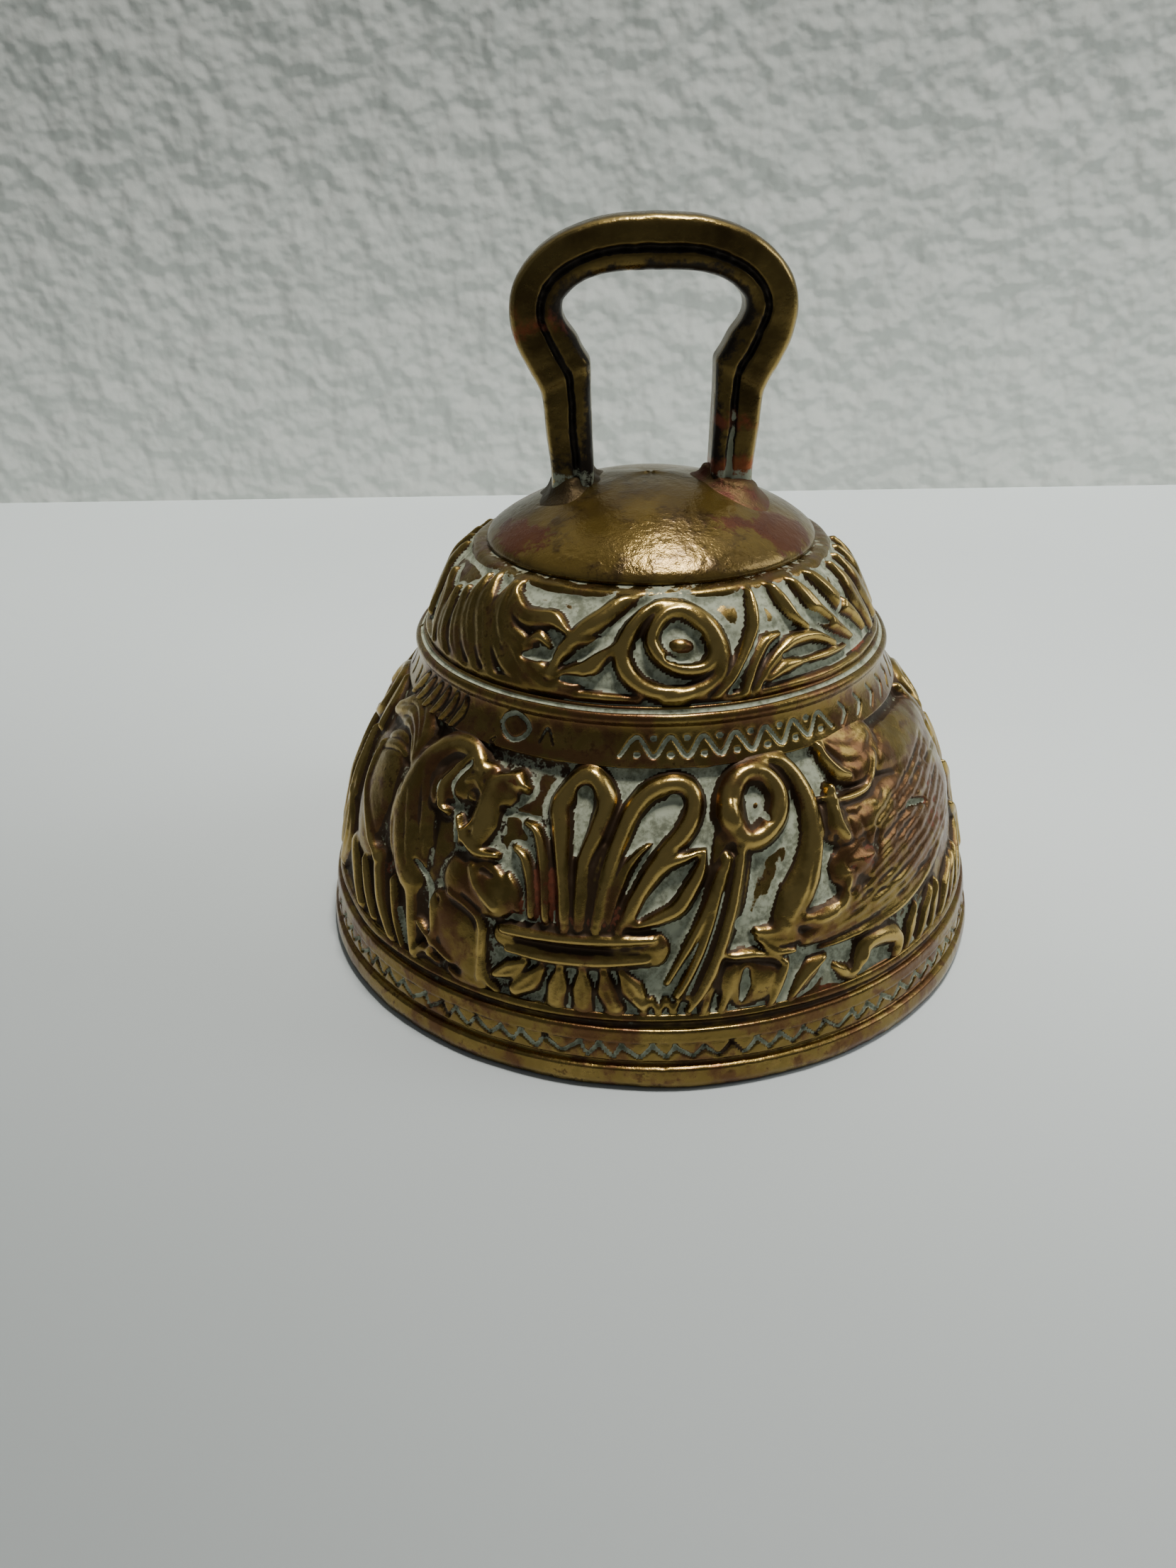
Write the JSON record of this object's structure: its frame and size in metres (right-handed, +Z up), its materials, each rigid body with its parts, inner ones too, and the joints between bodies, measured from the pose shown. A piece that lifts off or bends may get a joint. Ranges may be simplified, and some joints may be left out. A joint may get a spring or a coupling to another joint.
{
  "type": "sanctus bell",
  "caption": "Small cast brass altar bell with bands of relief, a keyhole loop handle and a loose iron clapper hung inside on a link",
  "frame": {"origin": "centre of the mouth, on the surface that the rim stands on", "axes": "+Z up the bell's axis through the handle; X along the width of the handle's loop; -Y is the front"},
  "size_m": [0.08, 0.08, 0.079],
  "materials": {
    "bell_brass": "aged cast brass: olive gold on the crests, dark brown patina in the hollows, pale verdigris and polish residue in the recesses",
    "handle_brass": "hand-worn brass, satin with a dark line along its groove",
    "braze": "coppery brazing metal, dull",
    "iron": "dark forged iron with brown rust in the hollows"
  },
  "bodies": {
    "bell": {"bell_shell": "bell_brass", "handle": "handle_brass", "handle_braze_left": "braze", "handle_braze_right": "braze", "clapper_staple": "iron"},
    "link": {"clapper_link": "iron"},
    "clapper": {"clapper_stem": "iron", "clapper_ball": "iron"}
  },
  "joints": [
    {"name": "link_swing", "type": "hinge", "parent": "bell", "child": "link", "pos_m": [0, 0, 0.0435], "axis": [1, 0, 0], "range_deg": [-44, 44]},
    {"name": "clapper_swing", "type": "hinge", "parent": "link", "child": "clapper", "pos_m": [0, 0, 0.0388], "axis": [0, 1, 0], "range_deg": [-22, 22]}
  ]
}
